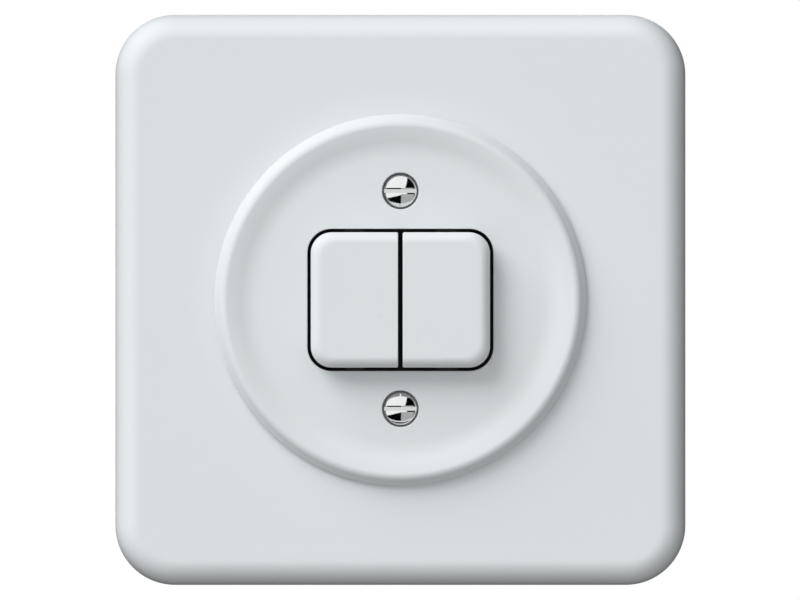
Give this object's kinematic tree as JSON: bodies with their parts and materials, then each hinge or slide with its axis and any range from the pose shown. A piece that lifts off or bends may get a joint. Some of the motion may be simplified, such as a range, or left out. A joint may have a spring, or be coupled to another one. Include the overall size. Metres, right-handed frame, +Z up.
{
  "type": "push button light switch",
  "caption": "Square wall plate with a round dished centre disc, two slotted screws and a pair of push buttons that each work a change-over contact behind the wall.",
  "frame": {"origin": "centre of the plate in the wall plane, which is the back of the support plate", "axes": "+X to the right, +Z up, +Y into the wall, so the buttons face -Y"},
  "size_m": [0.086, 0.037, 0.086],
  "materials": {
    "plate_plastic": "satin, cool white",
    "disc_plastic": "satin, cool white",
    "button_plastic": "satin, cool white",
    "nickel": "nickel plated",
    "zinc_steel": "zinc plated sheet",
    "grey_plastic": "moulded grey",
    "dark_plastic": "moulded dark thermoset",
    "steel": "plain steel",
    "spring_steel": "spring wire",
    "rocker_plastic": "natural nylon",
    "silver": "silver contact",
    "brass": "plain brass"
  },
  "bodies": {
    "switch_body": {"base": "dark_plastic", "inner_cover": "grey_plastic", "support_plate": "zinc_steel", "cover_plate": "plate_plastic", "centre_disc": "disc_plastic", "upper_cover_screw": "nickel", "lower_cover_screw": "nickel", "left_rivet": "steel", "right_rivet": "steel", "rocker_axle": "steel", "left_common_terminal": "brass", "left_upper_terminal": "brass", "left_lower_terminal": "brass", "left_common_terminal_screw": "nickel", "left_upper_terminal_screw": "nickel", "left_lower_terminal_screw": "nickel", "left_upper_fixed_contact": "silver", "left_lower_fixed_contact": "silver", "left_return_spring": "spring_steel", "right_common_terminal": "brass", "right_upper_terminal": "brass", "right_lower_terminal": "brass", "right_common_terminal_screw": "nickel", "right_upper_terminal_screw": "nickel", "right_lower_terminal_screw": "nickel", "right_upper_fixed_contact": "silver", "right_lower_fixed_contact": "silver", "right_return_spring": "spring_steel"},
    "left_button_body": {"left_button": "button_plastic", "left_pawl_pin": "steel"},
    "left_pawl_body": {"left_pawl": "steel"},
    "left_rocker_body": {"left_rocker": "rocker_plastic", "left_snap_plunger": "brass", "left_plunger_spring": "spring_steel"},
    "left_lever_body": {"left_contact_lever": "brass", "left_upper_moving_contact": "silver", "left_lower_moving_contact": "silver"},
    "right_button_body": {"right_button": "button_plastic", "right_pawl_pin": "steel"},
    "right_pawl_body": {"right_pawl": "steel"},
    "right_rocker_body": {"right_rocker": "rocker_plastic", "right_snap_plunger": "brass", "right_plunger_spring": "spring_steel"},
    "right_lever_body": {"right_contact_lever": "brass", "right_upper_moving_contact": "silver", "right_lower_moving_contact": "silver"}
  },
  "joints": [
    {"name": "left_press", "type": "slide", "parent": "switch_body", "child": "left_button_body", "axis": [0, 1, 0], "range_m": [0, 0.0032], "stiffness_N_per_m": 600, "springref_m": -0.003, "deforming": ["left_return_spring"]},
    {"name": "left_pawl_swing", "type": "hinge", "parent": "left_button_body", "child": "left_pawl_body", "pos_m": [-0.00692, 0.0038, 0], "axis": [1, 0, 0], "range_deg": [0, 14.3]},
    {"name": "left_rocker_tilt", "type": "hinge", "parent": "switch_body", "child": "left_rocker_body", "pos_m": [-0.00692, 0.0126, 0], "axis": [1, 0, 0], "range_deg": [-30.2, 0]},
    {"name": "left_lever_tilt", "type": "hinge", "parent": "switch_body", "child": "left_lever_body", "pos_m": [-0.00692, 0.01775, 0], "axis": [1, 0, 0], "range_deg": [0, 16.2]},
    {"name": "right_press", "type": "slide", "parent": "switch_body", "child": "right_button_body", "axis": [0, 1, 0], "range_m": [0, 0.0032], "stiffness_N_per_m": 600, "springref_m": -0.003, "deforming": ["right_return_spring"]},
    {"name": "right_pawl_swing", "type": "hinge", "parent": "right_button_body", "child": "right_pawl_body", "pos_m": [0.00692, 0.0038, 0], "axis": [1, 0, 0], "range_deg": [0, 14.3]},
    {"name": "right_rocker_tilt", "type": "hinge", "parent": "switch_body", "child": "right_rocker_body", "pos_m": [0.00692, 0.0126, 0], "axis": [1, 0, 0], "range_deg": [-30.2, 0]},
    {"name": "right_lever_tilt", "type": "hinge", "parent": "switch_body", "child": "right_lever_body", "pos_m": [0.00692, 0.01775, 0], "axis": [1, 0, 0], "range_deg": [0, 16.2]}
  ],
  "couplings": [
    {"joint": "left_pawl_swing", "follows": "left_press", "rad_per_m": 76.904},
    {"joint": "left_rocker_tilt", "follows": "left_press", "rad_per_m": -163.62},
    {"joint": "left_lever_tilt", "follows": "left_press", "rad_per_m": 87.266},
    {"joint": "right_pawl_swing", "follows": "right_press", "rad_per_m": 76.904},
    {"joint": "right_rocker_tilt", "follows": "right_press", "rad_per_m": -163.62},
    {"joint": "right_lever_tilt", "follows": "right_press", "rad_per_m": 87.266}
  ]
}
